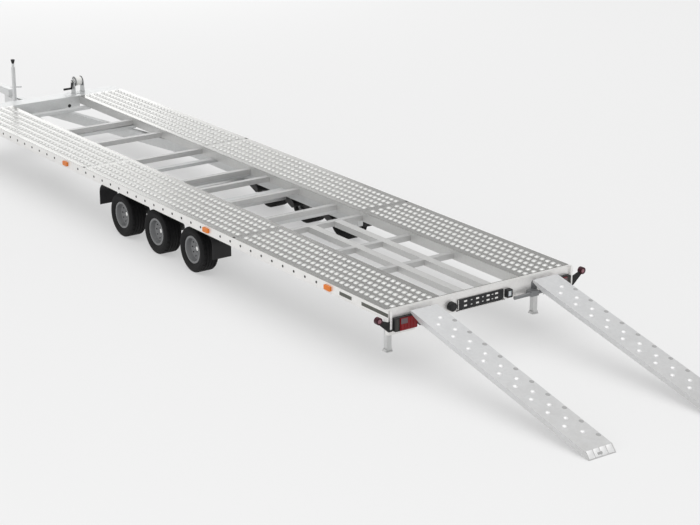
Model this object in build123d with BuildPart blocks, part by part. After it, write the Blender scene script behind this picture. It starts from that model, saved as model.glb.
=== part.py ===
from build123d import *
import os
from math import asin, atan2, cos, degrees, hypot, sin

# Low platform trailer for carrying cars, three braked axles, hooked ramps.
# Millimetres, +X towards the coupling, +Y to the left, +Z up, origin on the
# ground below the middle of the whole trailer.

os.makedirs("parts", exist_ok=True)

# Deck
deckLength = 8700
deckWidth = 2100
deckHeight = 595
trackWidth = 595
sheet = 4
ribWidth = 40
ribDepth = 24
ribPitch = 435

# Rails and cross members of the deck frame
wall = 4
railWidth = 46
railDepth = 91
innerRailWidth = 40
innerRailDepth = 96
crossWidth = 60
crossDepth = 54
crossDrop = 35
crossPlaces = [1030, 1700, 2500, 2950, 3640, 4210, 4580, 5590, 6480, 7180]
stringerWidth = 88
stringerInner = 112
stringerDepth = 60
frontDepth = 135
frontLength = 220
frontLip = 45
rearLength = 45
rearDepth = 165
cornerDepth = 230
cornerThick = 8

# Drawbar below the deck frame
beamWidth = 64
beamDepth = 120
beamTop = 460
beamSpread = 630
beamRear = 2750
beamKink = 6010
beamApexReach = 850
beamTipReach = 920
bolsterWidth = 80
bolsterPlaces = [3000, 3900, 4650, 5350, 7180]
frontBolsterBack = 390
noseReach = 1450

# Wheels and axles
wheelPlaces = [4807, 4088, 3369]
tyreRadius = 234.5
tyreWidth = 195
tyreInset = 32
tyreShoulder = 18
rimRadius = 127
rimFlange = 15
wellStart = 30
rimWall = 5
rimWidth = 162
drumRadius = 98
drumWidth = 55
backplateGap = 3
backplateThick = 8
spindleRadius = 25
spindleDepth = 36
bearingGap = 0.05
spindleEnd = 4
hubFace = 8
hubCapRadius = 24
hubCapReach = 28
wellDepth = 14
discDish = 20
discFlat = 66
armTrail = 150
axleSize = 80
axleOverhang = 20
axleCorner = 8
armThick = 36
armEyeRadius = 45
hubEyeRadius = 38
guardThick = 5
guardGap = 31
guardWidth = 215
guardInset = 20
guardFront = 5240
guardRear = 2930
guardFoot = 250
guardBend = 115

# Ramps and their hook tubes
rampWidth = 290
rampCentre = 695
rampDepth = 50
rampLength = 2345
rampHead = 46
rampHeadLip = 22
rampHeadTaper = 90
rampToeBevel = 66
rampRibs = 9
hookTubeRadius = 17
hookTubeHeight = 445
hookTubeBack = 60
hookTubeReach = 758
hookTubeLeftEnd = 520
hookTubeRightEnd = 318
hookBlockEnds = (505, 595)
hookPlateEnds = (562, 630)
hookPlateTop = 550
hookPlateThick = 4
hookBracket = 8
clawThick = 10
clawSpread = 45
clawWall = 15
runningGap = 0.3
rampAboveHook = 114

# Rear support legs
legPlace = 283
legSide = 847
legSize = 50
legSleeveWall = 5
legSleeveFoot = 350
legFoot = 88
legFootSize = 68
legFootThick = 8
legLugThick = 8
legLugHeight = 26
legHeadroom = 38

# Rear lamps, plate holder and markers
lampWidth = 245
lampHeight = 122
lampDepth = 40
lampInset = 40
lampFoot = 400
lampBlind = 54
lensInset = 5
lensThick = 12
lensSlant = 26
plateWidth = 520
plateHeight = 92
plateSide = 30
plateThick = 14
plateFoot = 446
plateBarWidth = 550
plateBarHeight = 6
plateBarFoot = 432
roundLampSide = 368
roundLampRadius = 42
roundLampHeight = 497
roundLampDepth = 40
smallLampSide = -282
smallLampWidth = 62
smallLampHeight = 76
smallLampFrame = 14
markerReach = 116
markerRadius = 33
markerThick = 40
markerArmThick = 16
markerBase = 32
markerHeight = 528
markerFoot = 447
sideMarkerPlaces = [910, 3005, 5960]
frontMarkerBack = 350
sideMarkerLength = 100
sideMarkerHeight = 46
sideMarkerThick = 18

# Winch, jockey wheel and coupling
winchBack = 62
winchInset = 65
winchSpan = 130
winchFoot = 120
winchShaftOut = 18
crankDrop = 90
crankLean = 25
crankGrip = 100
winchHeight = 740
winchPlate = 6
winchDrumRadius = 36
winchShaftRadius = 12
winchCheekRadius = 36
jockeyReach = 330
jockeyGap = 11
jockeyTubeRadius = 24
jockeyTubeFoot = 330
jockeyTubeTop = 940
jockeyInnerRadius = 20
jockeyWheelRadius = 100
jockeyWheelWidth = 50
jockeyTrail = 45
couplingHeight = 505
housingLength = 340
housingWidth = 92
bellowsRadius = 40
bellowsLength = 120
headLength = 250
ballRadius = 25

# Ramp angle from the height of its hook tube and its length to the foot
rampUnder = rampAboveHook - rampDepth
rampReachLine = hypot(rampLength, rampUnder)
rampPitch = atan2(rampUnder, rampLength) + asin(hookTubeHeight / rampReachLine)
rampBack = hookTubeBack + rampLength * cos(rampPitch) + rampUnder * sin(rampPitch)

# Ends of the whole and the deck's rear edge in the frame
overall = rampBack + deckLength + noseReach
rearX = rampBack - overall / 2
innerEdge = deckWidth / 2 - trackWidth
plankFoot = deckHeight - sheet
innerRailFoot = plankFoot - innerRailDepth
crossTop = deckHeight - crossDrop
tyreOuterFace = deckWidth / 2 - tyreInset
wheelMiddle = tyreOuterFace - tyreWidth / 2
frontStart = deckLength - frontLength
trackLength = frontStart - rearLength
legSleeveHalf = legSize / 2 + runningGap + legSleeveWall
lampOuter = deckWidth / 2 - lampInset
lampInner = lampOuter - lampWidth

# Drawbar beams narrow from their kink to the apex ahead of the deck
beamApex = deckLength + beamApexReach
beamTip = deckLength + beamTipReach
beamSlope = beamSpread / (beamApex - beamKink)
beamHalfAcross = beamWidth / 2 * hypot(1, beamSlope)
axleReach = beamSpread + beamWidth / 2 + axleOverhang
winchPlace = deckLength - winchBack
winchSide = -innerEdge - winchInset
jockeyPlace = deckLength + jockeyReach
jockeyBeamFace = (beamApex - jockeyPlace) * beamSlope + beamHalfAcross
jockeySide = jockeyBeamFace + jockeyGap + jockeyTubeRadius


def ahead(distance):
    return rearX + distance


def save(builder, nodeName):
    builder.part.label = nodeName
    export_step(builder.part, f"parts/{nodeName}.step")


def sideName(side):
    return "left" if side > 0 else "right"


# Side rails, channels open to the inside
def sideRail(side):
    with BuildPart() as rail:
        with BuildSketch(Plane.YZ.offset(ahead(rearLength))):
            with Locations((side * (deckWidth - railWidth) / 2, plankFoot - railDepth / 2)):
                Rectangle(railWidth, railDepth)
            with Locations((side * (deckWidth - railWidth - 2 * wall) / 2, plankFoot - railDepth / 2)):
                Rectangle(railWidth, railDepth - 2 * wall, mode=Mode.SUBTRACT)
        extrude(amount=deckLength - rearLength - wall)
    save(rail, "side_rail_" + sideName(side))


# Inner rails, channels open to the outside
def innerRail(side):
    railMiddle = side * (innerEdge + innerRailWidth / 2)
    with BuildPart() as rail:
        with BuildSketch(Plane.YZ.offset(ahead(rearLength))):
            with Locations((railMiddle, plankFoot - innerRailDepth / 2)):
                Rectangle(innerRailWidth, innerRailDepth)
            with Locations((railMiddle + side * wall, plankFoot - innerRailDepth / 2)):
                Rectangle(innerRailWidth, innerRailDepth - 2 * wall, mode=Mode.SUBTRACT)
        extrude(amount=deckLength - rearLength - wall)
    save(rail, "inner_rail_" + sideName(side))


# Front cross member, a folded channel between the inner rails with a lip along
# its foot, under a full-width tread plate that carries on as the front apron
def frontCrossmember():
    walls = (frontStart, deckLength - wall)
    lips = (frontStart, deckLength - frontLip)
    with BuildPart() as member:
        with BuildSketch(Plane.YZ.offset(ahead(frontStart))):
            with Locations((0, deckHeight - sheet / 2)):
                Rectangle(deckWidth, sheet)
        extrude(amount=frontLength)
        for place in walls:
            with BuildSketch(Plane.YZ.offset(ahead(place))):
                with Locations((0, deckHeight - frontDepth / 2)):
                    Rectangle(2 * innerEdge, frontDepth)
            extrude(amount=wall)
        for place in lips:
            with BuildSketch(Plane.YZ.offset(ahead(place))):
                with Locations((0, deckHeight - frontDepth + wall / 2)):
                    Rectangle(2 * innerEdge, wall)
            extrude(amount=frontLip)
        with BuildSketch(Plane.YZ.offset(ahead(deckLength - wall))):
            with Locations((0, deckHeight - (sheet + railDepth) / 2)):
                Rectangle(deckWidth, sheet + railDepth)
        extrude(amount=wall)
    save(member, "front_crossmember")


# Rear cross member with a deep plate at each corner
def rearCrossmember():
    with BuildPart() as member:
        with BuildSketch(Plane.YZ.offset(ahead(0))):
            with Locations((0, deckHeight - rearDepth / 2)):
                Rectangle(deckWidth, rearDepth)
        extrude(amount=rearLength)
        for side in (1, -1):
            with BuildSketch(Plane.YZ.offset(ahead(0))):
                with Locations((side * (deckWidth - cornerThick) / 2, deckHeight - cornerDepth / 2)):
                    Rectangle(cornerThick, cornerDepth)
            extrude(amount=rearLength)
            with BuildSketch(Plane.YZ.offset(ahead(0))):
                with Locations((side * (lampInner + deckWidth / 2) / 2, deckHeight - cornerDepth / 2)):
                    Rectangle(deckWidth / 2 - lampInner, cornerDepth)
            extrude(amount=wall)
    save(member, "rear_crossmember")


# Cross members between the inner rails, cut where the stringers run through
def crossMembers():
    with BuildPart() as members:
        for place in crossPlaces:
            with BuildSketch(Plane.YZ.offset(ahead(place - crossWidth / 2))):
                with Locations((0, crossTop - crossDepth / 2)):
                    Rectangle(2 * innerEdge, crossDepth)
            extrude(amount=crossWidth)
        for side in (1, -1):
            with BuildSketch(Plane.YZ.offset(ahead(rearLength))):
                with Locations((side * (stringerInner + stringerWidth / 2), crossTop - stringerDepth / 2)):
                    Rectangle(stringerWidth, stringerDepth)
            extrude(amount=stringerEnd() - rearLength, mode=Mode.SUBTRACT)
    save(members, "cross_members")


def stringerEnd():
    return crossPlaces[2] - crossWidth / 2


# Outriggers carry on from the cross members below the tracks
def outriggers(side):
    reach = deckWidth / 2 - innerEdge - 2 * wall
    middle = side * (innerEdge + wall + reach / 2)
    with BuildPart() as arms:
        for place in [legPlace + legSleeveHalf + crossWidth / 2] + crossPlaces:
            with BuildSketch(Plane.YZ.offset(ahead(place - crossWidth / 2))):
                with Locations((middle, crossTop - crossDepth / 2)):
                    Rectangle(reach, crossDepth)
            extrude(amount=crossWidth)
    save(arms, "outriggers_" + sideName(side))


# Two stringers in the rear bays
def stringers():
    with BuildPart() as pair:
        for side in (1, -1):
            with BuildSketch(Plane.YZ.offset(ahead(rearLength))):
                with Locations((side * (stringerInner + stringerWidth / 2), crossTop - stringerDepth / 2)):
                    Rectangle(stringerWidth, stringerDepth)
            extrude(amount=stringerEnd() - rearLength)
    save(pair, "stringers")


# Drawbar beams, parallel over the axles, that meet under the coupling
def drawbarBeam(side):
    meeting = beamApex - beamHalfAcross / beamSlope
    tipSide = (beamApex - beamTip) * beamSlope + beamHalfAcross
    with BuildPart() as beam:
        with BuildSketch(Plane.XY.offset(beamTop - beamDepth)):
            with BuildLine():
                Polyline(
                    (ahead(beamRear), side * (beamSpread - beamWidth / 2)),
                    (ahead(beamKink), side * (beamSpread - beamHalfAcross)),
                    (ahead(meeting), 0),
                    (ahead(beamTip), 0),
                    (ahead(beamTip), side * tipSide),
                    (ahead(beamKink), side * (beamSpread + beamHalfAcross)),
                    (ahead(beamRear), side * (beamSpread + beamWidth / 2)),
                    close=True,
                )
            make_face()
        extrude(amount=beamDepth)
    save(beam, "drawbar_" + sideName(side))


# Flat bolsters between the drawbar beams and the inner rails
def bolsters():
    overBeams = 2 * (beamSpread + beamWidth / 2)
    overRails = 2 * (innerEdge + innerRailWidth)
    with BuildPart() as bars:
        for place in bolsterPlaces + [deckLength - frontBolsterBack]:
            with BuildSketch(Plane.XY.offset(beamTop)):
                with Locations((ahead(place), 0)):
                    Rectangle(bolsterWidth, overBeams if place < beamKink else overRails)
            extrude(amount=innerRailFoot - beamTop)
    save(bars, "bolsters")


# Deck track, a folded sheet with ribs across its underside
def deckTrack(side):
    middle = side * (deckWidth - trackWidth) / 2
    ribReach = trackWidth - innerRailWidth - railWidth
    ribMiddle = side * (innerEdge + innerRailWidth + ribReach / 2)
    ribCount = int(trackLength // ribPitch)
    with BuildPart() as track:
        with BuildSketch(Plane.YZ.offset(ahead(rearLength))):
            with Locations((middle, deckHeight - sheet / 2)):
                Rectangle(trackWidth, sheet)
        extrude(amount=trackLength)
        for index in range(ribCount):
            place = rearLength + (index + 0.5) * trackLength / ribCount
            with BuildSketch(Plane.YZ.offset(ahead(place - ribWidth / 2))):
                with Locations((ribMiddle, plankFoot - ribDepth / 2)):
                    Rectangle(ribReach, ribDepth)
            extrude(amount=ribWidth)
    save(track, "deck_track_" + sideName(side))


# Axle tubes below the drawbar beams
def axleTubes():
    with BuildPart() as tubes:
        for place in wheelPlaces:
            with BuildSketch(Plane.XZ.offset(-axleReach)):
                with Locations((ahead(place + armTrail), beamTop - beamDepth - axleSize / 2)):
                    RectangleRounded(axleSize, axleSize, axleCorner)
            extrude(amount=2 * axleReach)
    save(tubes, "axle_tubes")


# Swing arms with their brake back plates, one solid at each wheel
def swingArms(side):
    plateFace = wheelMiddle + hubFace - drumWidth - backplateGap
    tubeHeight = beamTop - beamDepth - axleSize / 2
    with BuildPart() as arms:
        for place in wheelPlaces:
            with BuildSketch(Plane.XZ.offset(-side * axleReach)):
                with Locations((ahead(place + armTrail), tubeHeight)):
                    Circle(armEyeRadius)
                with Locations((ahead(place), tyreRadius)):
                    Circle(hubEyeRadius)
                make_hull()
            extrude(amount=-side * armThick)
            with BuildSketch(Plane.XZ.offset(-side * (axleReach + armThick))):
                with Locations((ahead(place), tyreRadius)):
                    Circle(hubEyeRadius - 6)
            extrude(amount=-side * (plateFace - axleReach - armThick))
            with BuildSketch(Plane.XZ.offset(-side * (plateFace - backplateThick))):
                with Locations((ahead(place), tyreRadius)):
                    Circle(drumRadius + 4)
            extrude(amount=-side * backplateThick)
            with BuildSketch(Plane.XZ.offset(-side * plateFace)):
                with Locations((ahead(place), tyreRadius)):
                    Circle(spindleRadius)
            extrude(amount=-side * (backplateGap + spindleDepth))
    save(arms, "swing_arms_" + sideName(side))


# Wheel, a steel rim with its brake drum, and the tyre
def wheel(place, side, number):
    half = rimWidth / 2
    seat = half - rimWall
    spindleBore = spindleRadius + bearingGap
    axis = Axis((ahead(place), 0, tyreRadius), (0, 1, 0))
    middle = side * wheelMiddle
    plane = Plane(origin=(ahead(place), middle, tyreRadius), x_dir=(0, side, 0), z_dir=(side, 0, 0))
    barrel = rimRadius - wellDepth - rimWall
    discBack = hubFace + discDish
    with BuildPart() as rim:
        with BuildSketch(plane):
            with BuildLine():
                Polyline(
                    (-half, barrel),
                    (-half, rimRadius + rimFlange),
                    (-seat, rimRadius + rimFlange),
                    (-seat, rimRadius),
                    (-seat + wellStart, rimRadius),
                    (-seat + wellStart + wellDepth, rimRadius - wellDepth),
                    (seat - wellStart - wellDepth, rimRadius - wellDepth),
                    (seat - wellStart, rimRadius),
                    (seat, rimRadius),
                    (seat, rimRadius + rimFlange),
                    (half, rimRadius + rimFlange),
                    (half, rimRadius - rimWall),
                    (discBack + rimWall, barrel),
                    (hubFace + rimWall, discFlat),
                    (hubFace + rimWall, 0),
                    (hubFace, 0),
                    (hubFace, discFlat),
                    (discBack, barrel),
                    close=True,
                )
            make_face()
        revolve(axis=axis)
        with BuildSketch(plane):
            with Locations((hubFace - drumWidth / 2, drumRadius / 2)):
                Rectangle(drumWidth, drumRadius)
            with Locations((hubCapReach / 2, hubCapRadius / 2)):
                Rectangle(hubCapReach, hubCapRadius)
        revolve(axis=axis)
        with BuildSketch(plane):
            with Locations((hubFace - drumWidth + (spindleDepth + spindleEnd) / 2, spindleBore / 2)):
                Rectangle(spindleDepth + spindleEnd, spindleBore)
        revolve(axis=axis, mode=Mode.SUBTRACT)
    save(rim, f"wheel_{number}_{sideName(side)}_rim")
    wide = tyreWidth / 2
    beadSide = seat - runningGap
    beadTop = rimRadius + rimFlange + 1
    bulge = beadTop + (tyreRadius - beadTop) * 0.55
    with BuildPart() as tyre:
        with BuildSketch(plane):
            with BuildLine():
                Polyline(
                    (-beadSide, rimRadius + runningGap),
                    (-beadSide, beadTop),
                    (-wide, bulge),
                    (-wide + tyreShoulder, tyreRadius),
                    (wide - tyreShoulder, tyreRadius),
                    (wide, bulge),
                    (beadSide, beadTop),
                    (beadSide, rimRadius + runningGap),
                    close=True,
                )
            make_face()
        revolve(axis=axis)
    save(tyre, f"wheel_{number}_{sideName(side)}_tyre")


# Mudguard over the three wheels of one side, bent down at both ends
def mudguard(side):
    top = 2 * tyreRadius + guardGap
    outerFace = deckWidth / 2 - guardInset
    with BuildPart() as guard:
        with BuildSketch(Plane.XZ.offset(-side * (outerFace - guardWidth))):
            with BuildLine():
                outer = FilletPolyline(
                    (ahead(guardRear), guardFoot),
                    (ahead(guardRear), top),
                    (ahead(guardFront), top),
                    (ahead(guardFront), guardFoot),
                    radius=guardBend,
                )
                inner = FilletPolyline(
                    (ahead(guardFront) - guardThick, guardFoot),
                    (ahead(guardFront) - guardThick, top - guardThick),
                    (ahead(guardRear) + guardThick, top - guardThick),
                    (ahead(guardRear) + guardThick, guardFoot),
                    radius=guardBend - guardThick,
                )
                Line(outer @ 1, inner @ 0)
                Line(inner @ 1, outer @ 0)
            make_face()
        extrude(amount=-side * guardWidth)
        for place in crossPlaces:
            if guardRear + guardBend < place < guardFront - guardBend - crossWidth:
                with BuildSketch(Plane.XY.offset(top - guardThick / 2)):
                    with Locations((ahead(place), side * (outerFace - guardWidth / 2 - 30))):
                        Rectangle(crossWidth, 60)
                extrude(amount=crossTop - crossDepth - top + guardThick / 2)
    save(guard, "mudguard_" + sideName(side))


# Ramp, a pressed channel with ribs below and two claws on the hook tube
def rampPlane(side, offset):
    direction = (-cos(rampPitch), 0, -sin(rampPitch))
    origin = (ahead(-hookTubeBack), side * rampCentre + offset, hookTubeHeight)
    return Plane(origin=origin, x_dir=direction, z_dir=(0, 1, 0))


def ramp(side):
    top = rampAboveHook
    under = rampUnder
    inside = rampWidth - 2 * wall
    clawRadius = hookTubeRadius + clawWall
    with BuildPart() as plank:
        with BuildSketch(rampPlane(side, -rampWidth / 2)):
            with BuildLine():
                Polyline(
                    (-rampHead, top),
                    (rampLength - rampToeBevel, top),
                    (rampLength, under),
                    (rampHeadTaper, under),
                    (-rampHead, top - rampHeadLip),
                    close=True,
                )
            make_face()
        extrude(amount=rampWidth)
        with BuildSketch(rampPlane(side, -inside / 2)):
            with BuildLine():
                Polyline(
                    (-rampHead, top - sheet),
                    (rampLength - rampToeBevel - 2 * sheet, top - sheet),
                    (rampLength - 2 * sheet, under),
                    (-rampHead, under),
                    close=True,
                )
            make_face()
        extrude(amount=inside, mode=Mode.SUBTRACT)
        for index in range(1, rampRibs + 1):
            with BuildSketch(rampPlane(side, -inside / 2)):
                with Locations((index * rampLength / (rampRibs + 1), top - sheet - ribDepth / 2)):
                    Rectangle(ribWidth, ribDepth)
            extrude(amount=inside)
        for offset in (-clawSpread, clawSpread):
            with BuildSketch(rampPlane(side, offset - clawThick / 2)):
                with Locations((0, (top - sheet) / 2)):
                    Rectangle(2 * clawRadius, top - sheet)
                Circle(clawRadius)
                with Locations((0, -clawRadius / 2)):
                    Rectangle(2 * (hookTubeRadius + runningGap), clawRadius, mode=Mode.SUBTRACT)
                Circle(hookTubeRadius + runningGap, mode=Mode.SUBTRACT)
            extrude(amount=clawThick)
    save(plank, "ramp_" + sideName(side))


# Hook tubes behind the rear cross member, each in a clamp block below a rounded
# plate, with an end bracket under the ramp
def hookTubes():
    plateAcross = hookPlateEnds[1] - hookPlateEnds[0]
    shoulder = hookPlateTop - plateAcross / 2
    with BuildPart() as tubes:
        for side, start in ((1, hookTubeLeftEnd), (-1, hookTubeRightEnd)):
            with BuildSketch(Plane.XZ.offset(-side * start)):
                with Locations((ahead(-hookTubeBack), hookTubeHeight)):
                    Circle(hookTubeRadius)
            extrude(amount=-side * (hookTubeReach - start))
            with BuildSketch(Plane.XZ.offset(-side * (hookTubeReach - hookBracket))):
                with Locations((ahead(-hookTubeBack), hookTubeHeight)):
                    Circle(hookTubeRadius + hookBracket)
                with Locations((ahead(-5), deckHeight - rearDepth + 25)):
                    Rectangle(10, 50)
                make_hull()
            extrude(amount=-side * hookBracket)
            with BuildSketch(Plane.XZ.offset(-side * hookBlockEnds[0])):
                with Locations((ahead(-hookTubeBack / 2 - hookBracket), hookTubeHeight)):
                    Rectangle(hookTubeBack + 2 * hookBracket, 2 * (hookTubeRadius + hookBracket))
            extrude(amount=-side * (hookBlockEnds[1] - hookBlockEnds[0]))
            with BuildSketch(Plane.YZ.offset(ahead(-hookPlateThick))):
                with Locations((side * sum(hookPlateEnds) / 2, shoulder)):
                    Circle(plateAcross / 2)
                with Locations((side * sum(hookPlateEnds) / 2, (shoulder + hookTubeHeight) / 2)):
                    Rectangle(plateAcross, shoulder - hookTubeHeight)
            extrude(amount=hookPlateThick)
    save(tubes, "hook_tubes")


# Rear legs, square tubes that slide in sleeves on the rear outriggers
def legSleeves():
    with BuildPart() as sleeves:
        for side in (1, -1):
            with BuildSketch(Plane.XY.offset(legSleeveFoot)):
                with Locations((ahead(legPlace), side * legSide)):
                    Rectangle(2 * legSleeveHalf, 2 * legSleeveHalf)
                    Rectangle(legSize + 2 * runningGap, legSize + 2 * runningGap, mode=Mode.SUBTRACT)
            extrude(amount=plankFoot - ribDepth - legSleeveFoot - 4)
    save(sleeves, "leg_sleeves")


def leg(side):
    with BuildPart() as tube:
        with BuildSketch(Plane.XY.offset(legFoot)):
            with Locations((ahead(legPlace), side * legSide)):
                Rectangle(legFootSize, legFootSize)
        extrude(amount=legFootThick)
        for edge in (1, -1):
            with BuildSketch(Plane.XY.offset(legFoot)):
                with Locations((ahead(legPlace), side * legSide + edge * (legFootSize - legLugThick) / 2)):
                    Rectangle(legFootSize * 0.7, legLugThick)
            extrude(amount=legLugHeight)
        with BuildSketch(Plane.XY.offset(legFoot + legFootThick)):
            with Locations((ahead(legPlace), side * legSide)):
                Rectangle(legSize, legSize)
        extrude(amount=plankFoot - ribDepth - legFoot - legFootThick - legHeadroom)
    save(tube, "leg_" + sideName(side))


# Rear lamps, a housing with a blind end, and a lens that slants at its inner end
def rearLamps():
    lampMiddle = lampFoot + lampHeight / 2
    lensHalf = lampHeight / 2 - lensInset
    with BuildPart() as housings:
        for side in (1, -1):
            with BuildSketch(Plane.YZ.offset(ahead(-lampDepth))):
                with Locations((side * (lampInner + lampOuter) / 2, lampMiddle)):
                    RectangleRounded(lampWidth, lampHeight, 8)
            extrude(amount=lampDepth)
    save(housings, "rear_lamp_housings")
    with BuildPart() as lenses:
        for side in (1, -1):
            with BuildSketch(Plane.YZ.offset(ahead(-lampDepth - lensThick))):
                with BuildLine():
                    Polyline(
                        (side * (lampOuter - lampBlind), lampMiddle - lensHalf),
                        (side * (lampOuter - lampBlind), lampMiddle + lensHalf),
                        (side * (lampInner + lensInset + lensSlant), lampMiddle + lensHalf),
                        (side * (lampInner + lensInset), lampMiddle),
                        (side * (lampInner + lensInset + lensSlant / 3), lampMiddle - lensHalf),
                        close=True,
                    )
                make_face()
            extrude(amount=lensThick)
    save(lenses, "rear_lamp_lenses")


# Plate holder with a thin bar below it, and the two small lamps beside it
def plateHolder():
    with BuildPart() as holder:
        with BuildSketch(Plane.YZ.offset(ahead(-plateThick))):
            with Locations((plateSide, plateFoot + plateHeight / 2)):
                RectangleRounded(plateWidth, plateHeight, 5)
            with Locations((plateSide, plateBarFoot + plateBarHeight / 2)):
                Rectangle(plateBarWidth, plateBarHeight)
            for edge in (-1, 0, 1):
                with Locations((plateSide + edge * plateWidth * 0.42, (plateBarFoot + plateFoot + 8) / 2)):
                    Rectangle(10, plateFoot + 8 - plateBarFoot)
        extrude(amount=plateThick)
    save(holder, "plate_holder")


def smallLamps():
    window = (smallLampWidth - 2 * smallLampFrame, smallLampHeight - 2 * smallLampFrame)
    with BuildPart() as lamps:
        with BuildSketch(Plane.YZ.offset(ahead(-roundLampDepth))):
            with Locations((roundLampSide, roundLampHeight)):
                Circle(roundLampRadius)
            with Locations((smallLampSide, roundLampHeight - 7)):
                RectangleRounded(smallLampWidth, smallLampHeight, 6)
        extrude(amount=roundLampDepth)
        with BuildSketch(Plane.YZ.offset(ahead(-roundLampDepth))):
            with Locations((smallLampSide, roundLampHeight - 7)):
                Rectangle(*window)
        extrude(amount=smallLampFrame, mode=Mode.SUBTRACT)
    save(lamps, "small_rear_lamps")
    with BuildPart() as plateLens:
        with BuildSketch(Plane.YZ.offset(ahead(-roundLampDepth + 2))):
            with Locations((smallLampSide, roundLampHeight - 7)):
                Rectangle(*window)
        extrude(amount=smallLampFrame - 2)
    save(plateLens, "plate_lamp_lens")


# Corner markers on rubber arms, and the amber markers along the side rails
def markerOutline(side):
    foot = deckWidth / 2
    return [
        (side * (foot - markerBase), markerFoot - 45),
        (side * (foot + 8), markerFoot - 45),
        (side * (foot + markerReach), markerHeight - markerRadius + 4),
        (side * (foot + markerReach - 14), markerHeight),
        (side * (foot + 4), markerFoot + 45),
        (side * (foot - markerBase), markerFoot + 45),
    ]


def cornerMarkers():
    with BuildPart() as arms:
        for side in (1, -1):
            with BuildSketch(Plane.YZ.offset(ahead(-markerArmThick))):
                with BuildLine():
                    Polyline(*markerOutline(side), close=True)
                make_face()
            extrude(amount=markerArmThick)
    save(arms, "marker_arms")
    with BuildPart() as lenses:
        for side in (1, -1):
            with BuildSketch(Plane.YZ.offset(ahead(-(markerArmThick + markerThick) / 2))):
                with Locations((side * (deckWidth / 2 + markerReach), markerHeight)):
                    Circle(markerRadius)
            extrude(amount=markerThick)
            with BuildSketch(Plane.YZ.offset(ahead(-markerArmThick))):
                with BuildLine():
                    Polyline(*markerOutline(side), close=True)
                make_face()
            extrude(amount=markerArmThick, mode=Mode.SUBTRACT)
    save(lenses, "corner_markers")


def sideMarkers():
    with BuildPart() as markers:
        for side in (1, -1):
            for place in sideMarkerPlaces + [deckLength - frontMarkerBack]:
                with BuildSketch(Plane.XZ.offset(-side * deckWidth / 2)):
                    with Locations((ahead(place), plankFoot - railDepth / 2)):
                        RectangleRounded(sideMarkerLength, sideMarkerHeight, 8)
                extrude(amount=-side * sideMarkerThick)
    save(markers, "side_markers")


# Hand winch at the front of the right track, its drum across the trailer and its crank on the left
def winch():
    left = winchSide + winchSpan / 2
    middle = ahead(winchPlace)
    with BuildPart() as frame:
        with BuildSketch(Plane.XY.offset(deckHeight)):
            with Locations((middle, winchSide)):
                Rectangle(winchFoot, winchSpan)
        extrude(amount=winchPlate)
        for face in (left, left - winchSpan + winchPlate):
            with BuildSketch(Plane.XZ.offset(-face)):
                with Locations((middle, winchHeight)):
                    Circle(winchCheekRadius)
                with Locations((middle, deckHeight + 10)):
                    Rectangle(winchFoot, 20)
                make_hull()
                with Locations((middle, winchHeight)):
                    Circle(winchShaftRadius + runningGap, mode=Mode.SUBTRACT)
            extrude(amount=winchPlate)
    save(frame, "winch_frame")
    with BuildPart() as drum:
        with BuildSketch(Plane.XZ.offset(-(left + winchShaftOut))):
            with Locations((middle, winchHeight)):
                Circle(winchShaftRadius)
        extrude(amount=winchSpan + winchShaftOut + 8)
        with BuildSketch(Plane.XZ.offset(-(left - winchPlate - 2))):
            with Locations((middle, winchHeight)):
                Circle(winchDrumRadius)
        extrude(amount=winchSpan - 2 * winchPlate - 4)
    save(drum, "winch_drum")
    with BuildPart() as crank:
        with BuildSketch(Plane.XZ.offset(-(left + winchShaftOut))):
            with Locations((middle, winchHeight)):
                Circle(20)
            with Locations((middle + crankLean, winchHeight - crankDrop)):
                Circle(14)
            make_hull()
            with Locations((middle, winchHeight)):
                Circle(winchShaftRadius, mode=Mode.SUBTRACT)
        extrude(amount=8)
        with BuildSketch(Plane.XZ.offset(-(left + winchShaftOut))):
            with Locations((middle + crankLean, winchHeight - crankDrop)):
                Circle(13)
        extrude(amount=-crankGrip)
    save(crank, "winch_crank")


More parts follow.
